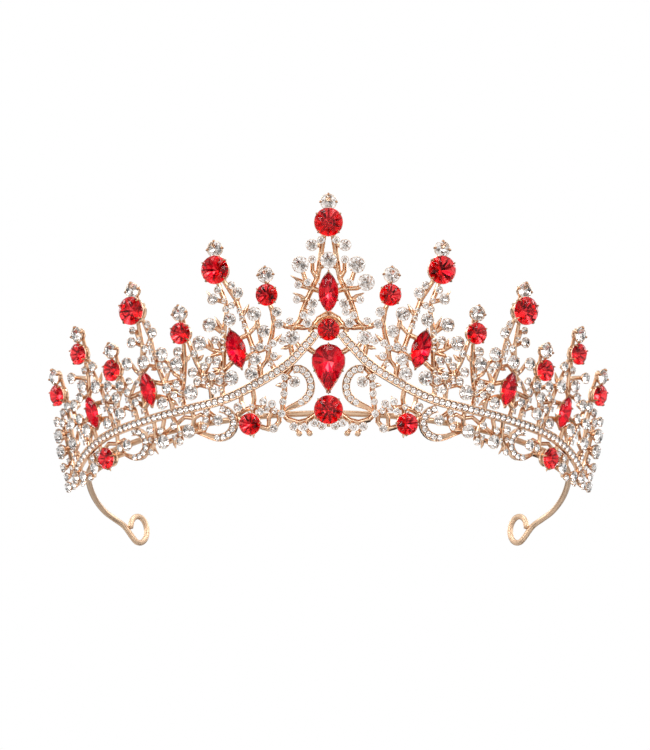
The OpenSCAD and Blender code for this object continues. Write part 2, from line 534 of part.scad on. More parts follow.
function end_of(q) = q[1][len(q[1]) - 1];
function on_wing(q) = q[1][0][0] > 10;
module pick(list, s, low, high) {
  for (q = list) if (q[0] >= low && q[0] < high)
    at(s * end_of(q)[0], end_of(q)[1], stone_z) round_stone(q[0] * clear_size);
}
module sprig(q, s) {
  l = gap(q[1][0], end_of(q));
  if (l > q[0] / 2 + 0.5)
    vine(l > 4.5 ? q[1] : [q[1][0], end_of(q)], s, sprig_r * 1.15, sprig_r, 1);
}
module wing_casting(s) {
  color(gold) union() {
    for (p = wing_stems) vine(p, s, stem_r * 1.1, stem_r * 0.9, 1);
    for (p = concat(wing_bars, wing_border)) vine(p, s, sprig_r * 1.2, sprig_r * 1.2, 1);
    for (p = wing_links) vine(p, s, sprig_r * 0.98, sprig_r * 1.04, 1);
    for (q = wing_sprigs) if (on_wing(q)) sprig(q, s);
    for (q = wing_leaves) leaf(q, s);
    rail_back(s, 12, 90);
  }
}
module cups(list, s) {
  color(gold) for (q = list) at(s * end_of(q)[0], end_of(q)[1], cup_z) clear_cup(q[0] * clear_size);
}
// Strip that carries the rail, from arc length a to arc length b
module rail_back(s, a, b) {
  vine([for (q = rail_path) if (q[0] >= a && q[0] <= b) q], s, stem_r * 1.15, stem_r * 1.15, 1);
}
module centre_half(s) {
  for (p = centre_stems) vine(p, s, sprig_r * 1.3, sprig_r * 1.25, 1);
  for (q = centre_sprigs) sprig(q, s);
  for (q = wing_sprigs) if (!on_wing(q)) sprig(q, s);
  for (q = centre_leaves) leaf(q, s);
  for (q = centre_beads) {
    vine(q, s, 0.6, 0.5, 1);
    at(s * q[len(q) - 1][0], q[len(q) - 1][1], cast_off) hull() sphere(r = 0.8, $fn = 9);
  }
  rail_back(s, 3, 12);
}

// ---------------------------------------------------------------- sub-parts

// Wire path: along the back of the castings, back past the ears, round the pin loop
leg = [[68, -38, 6.7], [68.2, -28, 6.5], [67.2, -18, 6.4], [65.2, -9.8, 6.2], [62.6, -4.2, 6],
       [60, -1.4, 4.9]];
loop_at = [56, 1.3, 4.9];
loop_w = 3;
loop_h = 4.1;
module headband_wire() {
  r = wire_d / 2;
  arc = [for (u = [-75:7.5:75]) surf(u, wire_h, -r - 0.3)];
  e = [-0.77, 0.64, 0];
  eye = [for (a = [-130:37:166]) loop_at + e * (loop_w * cos(a)) + [0, 0, loop_h * sin(a)]];
  half = smooth(concat([arc[len(arc) - 1]], leg, eye), 2);
  n = len(half) - 1;
  right = [for (i = [1:n]) half[i]];
  left = [for (i = [0:n - 1]) [-half[n - i][0], half[n - i][1], half[n - i][2]]];
  path = concat(left, arc, right);
  color(gold_dark) sweep(path, [for (p = path) wire_up(p)], [for (p = path) ring(r, 5)]);
}
function wire_up(p) = unit([p[0], min(p[1], 0) - 30, 0]);

// The middle casting has one sprig that differs left and right, and the plates of its red cups
odd_sprigs = [[4, [odd_root, [6.6, 40.6], odd_stone]], [1.8, [odd_root, [6.8, 41.4]]]];
top_clear = [4, [[0, 49.6], [0, 47.8]]];
module centre_casting() {
  color(gold) union() {
    for (s = [-1, 1]) centre_half(s);
    sprig(odd_sprigs[0], 1);
    sprig(odd_sprigs[1], -1);
    leaf([odd_root, [8.6, 44.2], 0.7], -1);
    sprig(top_clear, 1);
    vine([[-2.1, 46], [0, 47.4], [2.1, 46]], 1, sprig_r * 1.2, sprig_r * 1.2, 1);
    vine([[0, 7.6], [0, 3]], 1, 0.64, 0.5, 1);
    at(0, 22, 0.1) cylinder(r = 3.1, h = 0.85, $fn = 8);
    at(0, 29, 0.1) cylinder(r = 2.2, h = 0.85, $fn = 8);
    at(0, 7.4, 0.1) cylinder(r = 2.8, h = 0.85, $fn = 8);
  }
}
module left_wing_casting() { wing_casting(-1); }
module right_wing_casting() { wing_casting(1); }

module pave_rail(s) { color(gold) channel(rail_path, s, 0.66, rail_w, groove_w, 0.5); }
module left_pave_rail() { pave_rail(-1); }
module right_pave_rail() { pave_rail(1); }

module pave_stones(path, s, off, start, count) {
  color(crystal) for (q = spaced(smooth(path, 2), pave_pitch, start, count))
    at(s * q[0], q[1], off) round_stone(pave_d);
}
module left_pave_rail_stones() { pave_stones(rail_path, -1, 1.2, 0.9, 0); }
module right_pave_rail_stones() { pave_stones(rail_path, 1, 1.2, 0.9, 0); }

module scroll(path, s) { color(gold) channel(path, s, 0.05, 2.2, 1.75, 0.7, 0.35); }
module left_inner_scroll() { scroll(inner_scroll, -1); }
module right_inner_scroll() { scroll(inner_scroll, 1); }
module left_middle_scroll() { scroll(middle_scroll, -1); }
module right_middle_scroll() { scroll(middle_scroll, 1); }
module left_end_scroll() { scroll(end_scroll, -1); }
module right_end_scroll() { scroll(end_scroll, 1); }
module scroll_stones(s) {
  pave_stones(inner_scroll, s, 0.8, 1, inner_count);
  pave_stones(middle_scroll, s, 0.8, 1, middle_count);
  pave_stones(end_scroll, s, 0.8, 1, end_count);
}
module left_scroll_stones() { scroll_stones(-1); }
module right_scroll_stones() { scroll_stones(1); }

module pear_setting() { color(gold) at(0, 20.6, cup_z) pear_setting_body(); }
module pear_stone() {
  color(ruby) at(0, 20.6, stone_z) long_stone(pear_pts(0, 1), pear_pts(0, 0.6), pear_pts(0, 0.1),
                                              2.9, 1.9);
}
module centre_marquise_setting() { color(gold) at(0, 39.1, cup_z) marquise_setting(5.6, 11.6); }
module centre_marquise_stone() { color(ruby) at(0, 39.1, stone_z) marquise_stone(5.6, 11.6); }
module marquise_settings(s) {
  color(gold) for (m = marquises) at(s * m[0], m[1], cup_z, -s * m[4]) marquise_setting(m[2], m[3]);
}
module marquise_stones(s) {
  color(ruby) for (m = marquises) at(s * m[0], m[1], stone_z, -s * m[4])
    marquise_stone(m[2], m[3]);
}
module left_marquise_settings() { marquise_settings(-1); }
module right_marquise_settings() { marquise_settings(1); }
module left_marquise_stones() { marquise_stones(-1); }
module right_marquise_stones() { marquise_stones(1); }

module arch_chaton_cup() { color(gold) at(0, 29, cup_z) setting(chaton_small, 45); }
module arch_chaton_stone() { color(ruby) at(0, 29, stone_z) round_stone(chaton_small); }
module base_chaton_cup() { color(gold) at(0, 7.4, cup_z) setting(chaton_large, 45); }
module base_chaton_stone() { color(ruby) at(0, 7.4, stone_z) round_stone(chaton_large); }
module lower_cups(s) {
  color(gold) for (q = lower_chatons) at(s * q[0], q[1], cup_z) setting(chaton_small, 0);
}
module lower_stones(s) {
  color(ruby) for (q = lower_chatons) at(s * q[0], q[1], stone_z) round_stone(chaton_small);
}
module left_lower_chaton_cups() { lower_cups(-1); }
module right_lower_chaton_cups() { lower_cups(1); }
module left_lower_chaton_stones() { lower_stones(-1); }
module right_lower_chaton_stones() { lower_stones(1); }

centre_top = [0, 58, 0, 63.6];
module centre_finial() { color(gold) finial(centre_top, chaton_large, 1); }
module left_tall_finials() { color(gold) for (f = tall_finials) finial(f, chaton_large, -1); }
module right_tall_finials() { color(gold) for (f = tall_finials) finial(f, chaton_large, 1); }
module left_short_finials() { color(gold) for (f = short_finials) finial(f, chaton_small, -1); }
module right_short_finials() { color(gold) for (f = short_finials) finial(f, chaton_small, 1); }

module finial_stones(list, d, s) {
  color(ruby) for (f = list) at(s * f[0], f[1], stone_z) round_stone(d);
}
module tip_stones(list, s) {
  color(crystal) for (f = list) at(s * f[2], f[3], stone_z)
    round_stone(tip_d);
}
module centre_finial_stone() { finial_stones([centre_top], chaton_large, 1); }
module left_tall_finial_stones() { finial_stones(tall_finials, chaton_large, -1); }
module right_tall_finial_stones() { finial_stones(tall_finials, chaton_large, 1); }
module left_short_finial_stones() { finial_stones(short_finials, chaton_small, -1); }
module right_short_finial_stones() { finial_stones(short_finials, chaton_small, 1); }
module centre_tip_stone() { tip_stones([centre_top], 1); }
module left_tip_stones() { tip_stones(concat(tall_finials, short_finials), -1); }
module right_tip_stones() { tip_stones(concat(tall_finials, short_finials), 1); }

module centre_clear_stones() {
  color(crystal) {
    for (s = [-1, 1]) pick(centre_sprigs, s, 0, 9);
    pick([odd_sprigs[0], top_clear], 1, 0, 9);
    pick([odd_sprigs[1]], -1, 0, 9);
  }
}
module centre_clear_cups() {
  for (s = [-1, 1]) cups(centre_sprigs, s);
  cups([odd_sprigs[0], top_clear], 1);
  cups([odd_sprigs[1]], -1);
}
module left_clear_cups() { cups(wing_sprigs, -1); }
module right_clear_cups() { cups(wing_sprigs, 1); }
rail_line = spaced(smooth(rail_path, 2), 0.8, 0, 0);
// Stones bead-set along the stems and the long runs of the border, clear of every other stone
function none_near(q, list, d) = len([for (e = list) if (gap(q, e) < d / 2 + 1) 1]) == 0;
function clear_of(q) = len([for (e = concat(wing_sprigs, centre_sprigs))
  if (gap(q, end_of(e)) < e[0] * clear_size / 2 + 0.8) 1]) == 0
  && len([for (m = marquises) if (norm([(q[0] - m[0]) * 2, q[1] - m[1]]) < 7) 1]) == 0
  && none_near(q, tall_finials, chaton_large) && none_near(q, short_finials, chaton_small)
  && none_near(q, lower_chatons, chaton_small) && none_near(q, rail_line, pave_d);
module stem_stones(s) {
  color(crystal) {
    for (p = wing_stems)
      for (q = spaced(smooth(p, 2), stem_pitch, stem_start, 0)) if (clear_of(q))
        at(s * q[0], q[1], 1.02) round_stone(pave_d);
    for (p = wing_border) if (len(p) > 5)
      for (q = spaced(smooth(p, 2), border_pitch, border_start, 0)) if (clear_of(q))
        at(s * q[0], q[1], 1.02) round_stone(pave_d);
  }
}
module left_stem_stones() { stem_stones(-1); }
module right_stem_stones() { stem_stones(1); }
module clear_stones(s, low, high) { color(crystal) pick(wing_sprigs, s, low, high); }
module left_large_clear_stones() { clear_stones(-1, big_d, 9); }
module right_large_clear_stones() { clear_stones(1, big_d, 9); }
module left_medium_clear_stones() { clear_stones(-1, mid_d, big_d); }
module right_medium_clear_stones() { clear_stones(1, mid_d, big_d); }
module left_small_clear_stones() { clear_stones(-1, 0, mid_d); }
module right_small_clear_stones() { clear_stones(1, 0, mid_d); }

headband_wire();
centre_casting();
left_wing_casting();
right_wing_casting();
left_pave_rail();
right_pave_rail();
left_pave_rail_stones();
right_pave_rail_stones();
left_inner_scroll();
right_inner_scroll();
left_middle_scroll();
right_middle_scroll();
left_end_scroll();
right_end_scroll();
left_scroll_stones();
right_scroll_stones();
centre_clear_cups();
left_clear_cups();
right_clear_cups();
pear_setting();
centre_marquise_setting();
left_marquise_settings();
right_marquise_settings();
arch_chaton_cup();
base_chaton_cup();
left_lower_chaton_cups();
right_lower_chaton_cups();
centre_finial();
left_tall_finials();
right_tall_finials();
left_short_finials();
right_short_finials();
pear_stone();
centre_marquise_stone();
left_marquise_stones();
right_marquise_stones();
arch_chaton_stone();
base_chaton_stone();
left_lower_chaton_stones();
right_lower_chaton_stones();
centre_finial_stone();
left_tall_finial_stones();
right_tall_finial_stones();
left_short_finial_stones();
right_short_finial_stones();
centre_tip_stone();
left_tip_stones();
right_tip_stones();
centre_clear_stones();
left_large_clear_stones();
right_large_clear_stones();
left_medium_clear_stones();
right_medium_clear_stones();
left_small_clear_stones();
right_small_clear_stones();
left_stem_stones();
right_stem_stones();
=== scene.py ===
"""Looks of the bridal crown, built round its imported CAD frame.

Metal castings are smoothed copies of the CAD castings. Stones, cups and claws are cut and turned in
mesh code at the places of the CAD stones. Lengths are in millimetres inside the builders and become
metres when a piece is made.
"""
import bpy, bmesh, math
import numpy as np
from mathutils import Matrix, Vector


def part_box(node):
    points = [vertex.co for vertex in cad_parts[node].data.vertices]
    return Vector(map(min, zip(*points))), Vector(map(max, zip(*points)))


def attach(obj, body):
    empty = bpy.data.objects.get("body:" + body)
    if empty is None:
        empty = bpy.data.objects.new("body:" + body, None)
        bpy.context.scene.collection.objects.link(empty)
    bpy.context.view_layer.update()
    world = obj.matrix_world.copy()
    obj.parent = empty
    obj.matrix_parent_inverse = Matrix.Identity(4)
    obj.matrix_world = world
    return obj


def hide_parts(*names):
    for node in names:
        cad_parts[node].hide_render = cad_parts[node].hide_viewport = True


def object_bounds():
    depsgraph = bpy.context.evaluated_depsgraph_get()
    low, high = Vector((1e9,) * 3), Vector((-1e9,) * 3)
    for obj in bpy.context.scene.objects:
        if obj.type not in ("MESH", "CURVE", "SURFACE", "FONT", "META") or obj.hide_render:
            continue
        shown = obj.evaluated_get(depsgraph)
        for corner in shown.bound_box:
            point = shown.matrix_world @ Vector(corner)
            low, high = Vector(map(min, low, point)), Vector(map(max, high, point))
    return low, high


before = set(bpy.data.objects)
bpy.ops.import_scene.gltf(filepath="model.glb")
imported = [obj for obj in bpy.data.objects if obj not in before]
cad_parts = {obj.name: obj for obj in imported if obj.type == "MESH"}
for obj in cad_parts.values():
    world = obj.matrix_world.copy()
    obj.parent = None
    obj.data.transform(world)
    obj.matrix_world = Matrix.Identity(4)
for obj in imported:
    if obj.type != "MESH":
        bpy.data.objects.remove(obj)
cad_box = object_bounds()
rng = np.random.default_rng(7)

MM = 0.001
LEAN = math.radians(20)          # slope of the crown's wall
ARC = 80                         # radius of its foot, in mm
WIRE_R = 0.85                    # radius of the headband wire, in mm
LONG_EDGE = 0.25                 # height of the girdle of a marquise or a pear, in mm
NEIGHBOURS = 2.1                 # small stones nearer than this have beads between them, in mm
CLOSE = 0.02                     # points nearer in depth than this are on one level, in mm
SIDES = ("left", "right")

# ------------------------------------------------------------------ camera and world


def look(place, forward, up):
    """Camera matrix at a place, looking along forward."""
    f = Vector(forward).normalized()
    x = f.cross(Vector(up)).normalized()
    y = x.cross(f)
    m = Matrix((x, y, -f)).transposed().to_4x4()
    m.translation = Vector(place)
    return m


PITCH = math.radians(25)                    # the camera looks up at the crown from below its foot
MIDDLE = Vector((0, -0.09026, 0.02819))     # of the wall, in metres
DISTANCE = 0.8                              # from the camera to that middle, in metres
AIM_LEFT, AIM_DOWN = 0.0011812, 0.0162336   # how far off that middle it aims, as tangents

scene = bpy.context.scene
scene.view_settings.view_transform = "Standard"


def make_camera():
    """A long lens in front of the crown and below it."""
    data = bpy.data.cameras.new("camera")
    data.sensor_width, data.lens = 36, 142.224
    data.clip_start, data.clip_end = 0.01, 50
    camera = bpy.data.objects.new("camera", data)
    ahead = Vector((0, math.cos(PITCH), math.sin(PITCH)))
    upward = Vector((0, -math.sin(PITCH), math.cos(PITCH)))
    aim = ahead - Vector((1, 0, 0)) * AIM_LEFT - upward * AIM_DOWN
    camera.matrix_world = look(MIDDLE - ahead * DISTANCE, aim, upward)
    scene.collection.objects.link(camera)
    scene.camera = camera


def node(tree, kind, **values):
    """A new shader node, with its properties or its inputs set by name."""
    n = tree.nodes.new(kind)
    for k, v in values.items():
        if hasattr(n, k):
            setattr(n, k, v)
        else:
            n.inputs[k].default_value = v
    return n


def ramp(tree, source, stops, interpolation="LINEAR"):
    """A colour ramp on a source, with (place, colour) stops."""
    n = tree.nodes.new("ShaderNodeValToRGB")
    n.color_ramp.interpolation = interpolation
    while len(n.color_ramp.elements) < len(stops):
        n.color_ramp.elements.new(0.5)
    for e, (at, colour) in zip(n.color_ramp.elements, stops):
        e.position = at
        e.color = (*colour, 1)
    tree.links.new(source, n.inputs["Fac"])
    return n


def maths(tree, operation, a, b, clamp=False):
    """The output of a maths node on two numbers or sockets."""
    n = tree.nodes.new("ShaderNodeMath")
    n.operation, n.use_clamp = operation, clamp
    for i, v in enumerate([a, b]):
        if isinstance(v, (int, float)):
            n.inputs[i].default_value = v
        else:
            tree.links.new(v, n.inputs[i])
    return n.outputs[0]


# Cards of the studio: the value at which each tone begins, and the tone
CARDS = [(0.0, (0.05, 0.05, 0.05)), (0.27, (0.34, 0.33, 0.32)),
         (0.38, (0.90, 0.89, 0.88)), (1.0, (1.0, 1.0, 1.0))]
# Soft boxes: direction, half angle in degrees, and level
SOFT_BOXES = [((-0.62, -0.70, 0.30), 13, 7.0), ((0.62, -0.70, 0.30), 13, 7.0),      # key, left and right
              ((0.0, -0.45, 0.9), 15, 5.0), ((0.0, -0.70, -0.72), 7, 2.5),          # top and low front
              ((-0.8, 0.5, 0.5), 14, 4.0), ((0.8, 0.5, 0.5), 14, 4.0),              # back, left and right
              ((0.0, -0.905, -0.40), 16, 1.1)]                                      # pale card by the camera


def make_world():
    """White studio: soft boxes and dark cards that only the stones and the metal see."""
    world = bpy.data.worlds.new("studio")
    scene.world = world
    world.use_nodes = True
    t = world.node_tree
    t.nodes.clear()
    coord = t.nodes.new("ShaderNodeTexCoord").outputs["Generated"]
    cards = node(t, "ShaderNodeTexVoronoi", Scale=3.1, Randomness=1.0)
    t.links.new(coord, cards.inputs["Vector"])
    tone = ramp(t, cards.outputs["Color"], CARDS, "CONSTANT")
    level = maths(t, "MULTIPLY", tone.outputs["Color"], 1.04)
    for place, spread, power in SOFT_BOXES:
        d = node(t, "ShaderNodeVectorMath", operation="DOT_PRODUCT")
        t.links.new(coord, d.inputs[0])
        d.inputs[1].default_value = Vector(place).normalized()
        inside = maths(t, "GREATER_THAN", d.outputs["Value"], math.cos(math.radians(spread)))
        level = maths(t, "MAXIMUM", level, maths(t, "MULTIPLY", inside, power))
    path = t.nodes.new("ShaderNodeLightPath").outputs["Is Camera Ray"]
    mix = node(t, "ShaderNodeMix", data_type="RGBA")
    t.links.new(path, mix.inputs["Factor"])
    t.links.new(level, mix.inputs["A"])
    mix.inputs["B"].default_value = (1, 1, 1, 1)
    back = t.nodes.new("ShaderNodeBackground")
    t.links.new(mix.outputs["Result"], back.inputs["Color"])
    out = t.nodes.new("ShaderNodeOutputWorld")
    t.links.new(back.outputs[0], out.inputs["Surface"])


make_camera()
make_world()

# ------------------------------------------------------------------ materials


def material(name):
    """A new material, its node tree and its shader."""
    m = bpy.data.materials.new(name)
    m.use_nodes = True
    t = m.node_tree
    return m, t, t.nodes["Principled BSDF"]


def cloud(tree, coord, scale, detail):
    """Fine noise over the object, as a socket."""
    n = node(tree, "ShaderNodeTexNoise", Scale=scale, Detail=detail)
    tree.links.new(coord, n.inputs["Vector"])
    return n.outputs["Fac"]


def gold(name, light, mid, crevice_shade, rough, grain, bump, spread=0.45, painted_light_level=1.0):
    """Champagne gold plating with a fine cast skin, its crevices darkened by painted shade and its sharp
    edges lightened by painted highlights. spread is the share by which the roughness varies, and the last
    argument is how strongly the painted shade and highlights show."""
    m, t, p = material(name)
    coord = t.nodes.new("ShaderNodeTexCoord").outputs["Object"]
    tint = maths(t, "SUBTRACT", cloud(t, coord, 260.0, 3.0), 0.5)
    # Pointiness paints shade into the crevices and highlights onto the sharp edges; the noise adds a little
    # random tone.
    edge = t.nodes.new("ShaderNodeNewGeometry").outputs["Pointiness"]
    edge = maths(t, "ADD", maths(t, "MULTIPLY", edge, painted_light_level), 0.5 * (1 - painted_light_level))
    painted_light_and_tone = maths(t, "ADD", edge, maths(t, "MULTIPLY", tint, 0.08))
    colour = ramp(t, painted_light_and_tone, [(0.40, crevice_shade), (0.50, mid), (0.60, light)])
    t.links.new(colour.outputs["Color"], p.inputs["Base Color"])
    p.inputs["Metallic"].default_value = 1.0
    skin = cloud(t, coord, grain, 4.0)
    r = ramp(t, skin, [(0.3, (rough * (1 - spread),) * 3), (0.7, (rough * (1 + spread),) * 3)])
    t.links.new(r.outputs["Color"], p.inputs["Roughness"])
    b = node(t, "ShaderNodeBump", Strength=bump, Distance=0.00005)
    t.links.new(skin, b.inputs["Height"])
    t.links.new(b.outputs["Normal"], p.inputs["Normal"])
    return m


def glass(name, colour, ior):
    """The clear body of a cut stone, with faint flaws in its colour."""
    m, t, p = material(name)
    coord = t.nodes.new("ShaderNodeTexCoord").outputs["Object"]
    c = ramp(t, cloud(t, coord, 900.0, 1.0), [(0.35, tuple(v * 0.96 for v in colour)), (0.65, colour)])
    t.links.new(c.outputs["Color"], p.inputs["Base Color"])
    p.inputs["Transmission Weight"].default_value = 1.0
    p.inputs["Roughness"].default_value = 0.0
    p.inputs["IOR"].default_value = ior
    return m


def foil(name, tones, rough):
    """Mirror foil behind a stone: its facets carry painted reflections in light and dark tones, and the
    silvering is a little uneven.
    """
    m, t, p = material(name)
    facet = t.nodes.new("ShaderNodeAttribute")
    facet.attribute_name = "facet"
    coord = t.nodes.new("ShaderNodeTexCoord").outputs["Object"]
    uneven = maths(t, "SUBTRACT", cloud(t, coord, 1500.0, 2.0), 0.5)
    shade = maths(t, "ADD", facet.outputs["Fac"], maths(t, "MULTIPLY", uneven, 0.08), clamp=True)
    c = ramp(t, shade, tones)
    t.links.new(c.outputs["Color"], p.inputs["Base Color"])
    p.inputs["Metallic"].default_value = 1.0
    p.inputs["Roughness"].default_value = rough
    return m


# Each gold gets an edge, a middle and a crevice colour: the crevice colour is painted shade and the edge
# colour a painted highlight, both set by pointiness. The wire's three colours only vary at random.
CAST = gold("cast_gold", (0.93, 0.68, 0.49), (0.76, 0.49, 0.32), (0.38, 0.19, 0.10), 0.15, 2600.0, 0.25)
SETTING = gold("setting_gold", (0.93, 0.71, 0.53), (0.81, 0.55, 0.38), (0.46, 0.24, 0.13),
               0.12, 2600.0, 0.15)
WIRE = gold("wire_gold", (0.84, 0.62, 0.44), (0.76, 0.54, 0.37), (0.60, 0.40, 0.26),
            0.42, 900.0, 0.0, spread=0.05, painted_light_level=0.0)
CLEAR = glass("crystal_glass", (1.0, 1.0, 1.0), 1.5)
# The foil colours paint the stones' reflections: dark, middle and bright facets, the red ones topped by a
# pink painted highlight.
CLEAR_FOIL = foil("crystal_foil", [(0.0, (0.26, 0.20, 0.16)), (0.22, (0.68, 0.60, 0.55)),
                                   (0.42, (0.99, 0.96, 0.94)), (1.0, (1.0, 1.0, 1.0))], 0.09)
PAVE_FOIL = foil("pave_foil", [(0.0, (0.28, 0.20, 0.15)), (0.26, (0.84, 0.74, 0.68)),
                               (0.4, (1.0, 0.98, 0.96)), (1.0, (1.0, 1.0, 1.0))], 0.08)
LONG_FOIL = foil("ruby_long_foil", [(0.0, (0.16, 0.001, 0.008)), (0.28, (0.55, 0.001, 0.014)),
                                    (0.5, (0.96, 0.005, 0.024)), (1.0, (1.0, 0.075, 0.09))], 0.24)
RUBY = glass("ruby_glass", (1.0, 0.90, 0.91), 1.3)
RUBY_FOIL = foil("ruby_foil", [(0.0, (0.12, 0.001, 0.004)), (0.28, (0.50, 0.002, 0.009)),
                               (0.5, (0.96, 0.009, 0.022)), (1.0, (1.0, 0.085, 0.09))], 0.12)

# ------------------------------------------------------------------ reading the CAD stones


def welded(name):
    """The CAD node's points in millimetres with doubles merged, and its triangles."""
    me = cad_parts[name].data
    co = np.empty(len(me.vertices) * 3)
    me.vertices.foreach_get("co", co)
    co = co.reshape(-1, 3) / MM
    me.calc_loop_triangles()
    tri = np.empty(len(me.loop_triangles) * 3, np.int32)
    me.loop_triangles.foreach_get("vertices", tri)
    _, first, inverse = np.unique(np.round(co * 1000).astype(np.int64), axis=0,
                                  return_index=True, return_inverse=True)
    return co[first], inverse.reshape(-1)[tri].reshape(-1, 3)


def islands(name):
    """Each separate solid of a CAD node, as an array of its points."""
    co, tri = welded(name)
    label = np.arange(len(co))
    while True:
        new = label.copy()
        low = label[tri].min(axis=1)
        for k in range(3):
            np.minimum.at(new, tri[:, k], low)
        new = new[new]
        if (new == label).all():
            break
        label = new
    return [co[label == k] for k in np.unique(label)]


class Seat:
    """Where a stone sits: the point of its culet, its axes on the wall, and its outline."""

    def __init__(self, points):
        self.turn_to(math.atan2(points[:, 0].mean(), -points[:, 1].mean()))
        depth = points @ self.z
        foot = points[depth < depth.min() + CLOSE].mean(axis=0)
        self.turn_to(math.atan2(foot[0], -foot[1]))
        self.foot = foot
        self.local = (points - foot) @ np.array([self.x, self.y, self.z]).T
        self.r = float(np.hypot(self.local[:, 0], self.local[:, 1]).max())
        self.top = float(self.local[:, 2].max())

    def turn_to(self, a):
        """Sets the axes for an angle round the crown: along the wall, up its slope and out of it."""
        s, c, sl, cl = math.sin(a), math.cos(a), math.sin(LEAN), math.cos(LEAN)
        self.x = np.array([c, s, 0])
        self.y = np.array([sl * s, -sl * c, cl])
        self.z = np.array([cl * s, -cl * c, -sl])

    def place(self, points):
        """Points from the seat's own axes to the crown's."""
        return self.foot + np.asarray(points) @ np.array([self.x, self.y, self.z])


def seats(name):
    """The seats of all the stones of a CAD node."""
    return [Seat(p) for p in islands(name)]


# ------------------------------------------------------------------ mesh builders


def show(name, me, cad):
    """Puts a mesh into the scene as the piece that replaces a CAD node."""
    ob = bpy.data.objects.new(name, me)
    scene.collection.objects.link(ob)
    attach(ob, "root")
    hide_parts(cad)


class Shape:
    """Collects points, faces, and each face's material, facet tone and shading."""

    def __init__(self):
        self.points, self.faces, self.mats, self.tones, self.soft = [], [], [], [], []
        self.count = 0

    def add_metal(self, points, faces):
        """Adds smooth metal."""
        self.add(points, faces, [0] * len(faces), [0.5] * len(faces), True)

    def add(self, points, faces, mats, tones, soft=False):
        """Adds points and the faces on them, with a material and a tone for each face."""
        self.points.append(np.asarray(points, float))
        self.faces += [tuple(int(i) + self.count for i in f) for f in faces]
        self.mats += mats
        self.tones += tones
        self.soft += [soft] * len(faces)
        self.count += len(points)

    def mesh(self, name):
        """The collected points and faces as a mesh in metres."""
        me = bpy.data.meshes.new(name)
        me.from_pydata((np.vstack(self.points) * MM).tolist(), [], self.faces)
        me.polygons.foreach_set("use_smooth", np.array(self.soft, bool))
        return me

    def piece(self, name, materials, cad):
        """Makes the piece that replaces a CAD node."""
        me = self.mesh(name)
        for m in materials:
            me.materials.append(m)
        me.polygons.foreach_set("material_index", np.array(self.mats, np.int32))
        # the tone of each face, which the foils turn into painted light and dark reflections
        tone = me.attributes.new("facet", "FLOAT", "FACE")
        tone.data.foreach_set("value", np.array(self.tones, np.float32))
        me.update()
        show(name, me, cad)


def bands(rows, sides):
    """Faces between rows of points that run round a body, each row with the same number of sides."""
    steps = [(k, (k + 1) % sides) for k in range(sides)]
    return [(row + k, row + after, row + sides + after, row + sides + k)
            for row in range(0, (rows - 1) * sides, sides) for k, after in steps]


def tube(path, radii, sides, squash=1.0):
    """A rounded rod along a path, closed at both ends."""
    path = np.asarray(path, float)
    n = len(path)
    d = np.gradient(path, axis=0)
    d /= np.linalg.norm(d, axis=1)[:, None]
    ref = np.array([0.0, 0.0, 1.0]) if abs(d[0][2]) < 0.9 else np.array([1.0, 0.0, 0.0])
    pts = []
    for i in range(n):
        ref = ref - d[i] * (ref @ d[i])
        ref /= np.linalg.norm(ref)
        side = np.cross(d[i], ref)
        for k in range(sides):
            a = 2 * math.pi * k / sides
            pts.append(path[i] + radii[i] * (math.cos(a) * side + squash * math.sin(a) * ref))
    a, b = len(pts), len(pts) + 1
    pts += [path[0] - d[0] * radii[0] * 0.5, path[-1] + d[-1] * radii[-1] * 0.6]
    last = (n - 1) * sides
    faces = bands(n, sides)
    faces += [(a, (k + 1) % sides, k) for k in range(sides)]
    faces += [(b, last + k, last + (k + 1) % sides) for k in range(sides)]
    return np.array(pts), faces


def turned(profile, sides):
    """A closed turned body from (radius, height) pairs that start and end on the axis."""
    inner = profile[1:-1]
    pts = [[r * math.cos(2 * math.pi * k / sides), r * math.sin(2 * math.pi * k / sides), z]
           for r, z in inner for k in range(sides)]
    a, b = len(pts), len(pts) + 1
    pts += [[0, 0, profile[0][1]], [0, 0, profile[-1][1]]]
    last = (len(inner) - 1) * sides
    faces = bands(len(inner), sides)
    faces += [(a, (k + 1) % sides, k) for k in range(sides)]
    faces += [(b, last + k, last + (k + 1) % sides) for k in range(sides)]
    return np.array(pts, float), faces


# ------------------------------------------------------------------ cut stones

GIRDLE_LOW, GIRDLE_UP = 0.72, 0.80         # heights of a round stone's girdle, as shares of its radius
TABLE, WAIST, KEEL = 0.56, 0.78, 0.34      # rows of facet corners, as shares of the outline
KEEL_DROP = 0.86                           # the keel's height, as a share of a straight cone's
SHADE_SPREAD = 0.2                         # how far the painted reflection tone of a facet strays at random
# Painted reflection tones, light and dark, of the foil below a stone's girdle: three facets of each pair of
# sides, then the culet's facets in turn
ROUND_PAINTED_REFLECTIONS = (0.70, 0.22, 0.84, 0.3, 0.75)
SMALL_PAINTED_REFLECTIONS = (0.85, 0.36, 0.95, 0.45, 0.9)
LONG_PAINTED_REFLECTIONS = (0.42, 0.30, 0.52, 0.46, 0.80)


def at_height(points, z):
    """Flat points lifted to one height."""
    return np.column_stack([points, np.full(len(points), z)])


